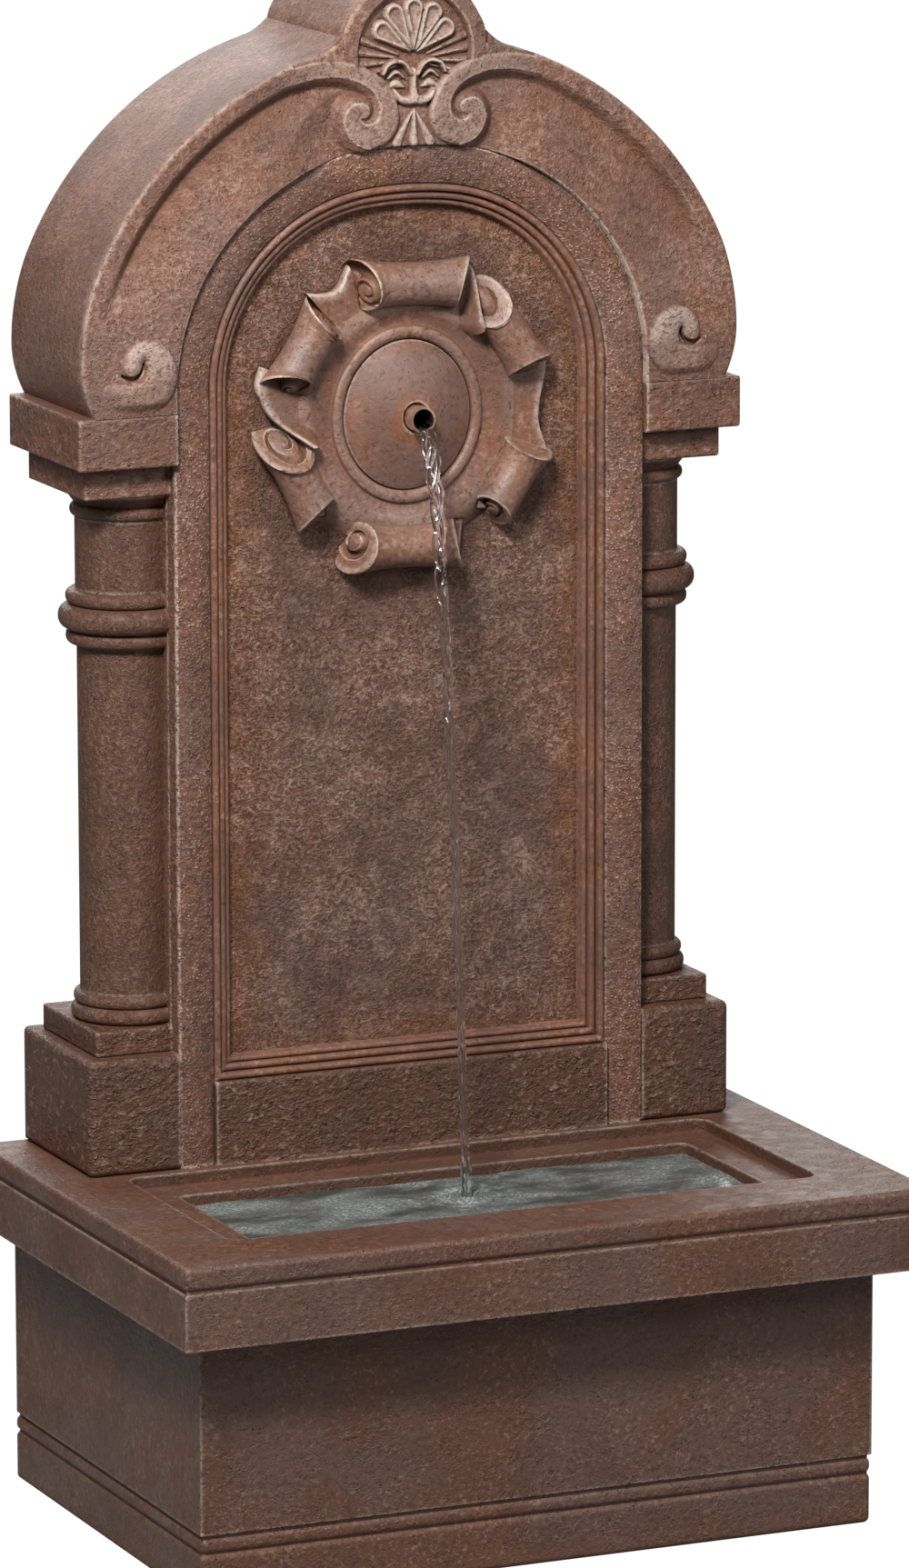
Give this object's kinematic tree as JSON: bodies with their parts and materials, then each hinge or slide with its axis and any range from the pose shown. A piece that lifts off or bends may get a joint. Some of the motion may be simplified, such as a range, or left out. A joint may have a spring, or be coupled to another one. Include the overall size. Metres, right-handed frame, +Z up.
{
  "type": "wall fountain",
  "caption": "Cast stone garden wall fountain: arched panel with columns and a water spout over a deep rectangular basin, with pump and plumbing inside.",
  "frame": {"origin": "on the ground under the middle of the basin's outer box", "axes": "+X to the right when facing the fountain, +Y back towards the wall, +Z up"},
  "size_m": [0.74, 0.517, 1.429],
  "materials": {
    "stone": "cast and aged, rough",
    "copper": "copper, weathered",
    "hose": "clear vinyl, cloudy",
    "steel": "stainless",
    "rubber": "matt",
    "pump_plastic": "moulded, satin",
    "dial_plastic": "moulded, satin",
    "magnet": "coated ferrite",
    "shaft_ceramic": "ground"
  },
  "bodies": {
    "fountain": {"pedestal": "stone", "bowl": "stone", "back_panel": "stone", "arch_band": "stone", "inner_moulding": "stone", "apron": "stone", "crest": "stone", "cartouche": "stone", "spout_disc": "stone", "plinth_left": "stone", "plinth_right": "stone", "plinth_step_left": "stone", "plinth_step_right": "stone", "column_base_left": "stone", "column_base_right": "stone", "column_shaft_left": "stone", "column_shaft_right": "stone", "column_collar_left": "stone", "column_collar_right": "stone", "column_drum_left": "stone", "column_drum_right": "stone", "column_necking_left": "stone", "column_necking_right": "stone", "abacus_left": "stone", "abacus_right": "stone", "capital_block_left": "stone", "capital_block_right": "stone", "pilaster_left": "stone", "pilaster_right": "stone", "outer_arch_left": "stone", "outer_arch_right": "stone", "spout_tube": "copper", "spout_nut": "copper", "spout_elbow": "copper", "riser_hose": "hose", "hose_clamp_upper": "steel", "hose_clamp_lower": "steel", "panel_dowel_left": "steel", "panel_dowel_right": "steel", "duct_stopper": "rubber", "shaft_bush_front": "rubber", "shaft_bush_rear": "rubber", "suction_foot_left_front": "rubber", "suction_foot_left_rear": "rubber", "suction_foot_right_front": "rubber", "suction_foot_right_rear": "rubber", "pump_housing": "pump_plastic", "impeller_cover": "pump_plastic", "cable_gland": "pump_plastic", "pump_shaft": "shaft_ceramic"},
    "rotor": {"impeller": "dial_plastic", "rotor_magnet": "magnet"},
    "strainer": {"strainer": "pump_plastic"},
    "dial": {"flow_dial": "dial_plastic"},
    "plug": {"drain_plug": "rubber"}
  },
  "joints": [
    {"name": "rotor_spin", "type": "hinge", "parent": "fountain", "child": "rotor", "pos_m": [0, 0.1595, 0.11], "axis": [1, 0, 0], "continuous": true},
    {"name": "strainer_pull", "type": "slide", "parent": "fountain", "child": "strainer", "axis": [-1, 0, 0], "range_m": [0, 0.08]},
    {"name": "dial_turn", "type": "hinge", "parent": "strainer", "child": "dial", "pos_m": [-0.049, 0.1595, 0.11], "axis": [1, 0, 0], "range_deg": [0, 90]},
    {"name": "plug_lift", "type": "slide", "parent": "fountain", "child": "plug", "axis": [0, 0, 1], "range_m": [0, 0.06]}
  ]
}
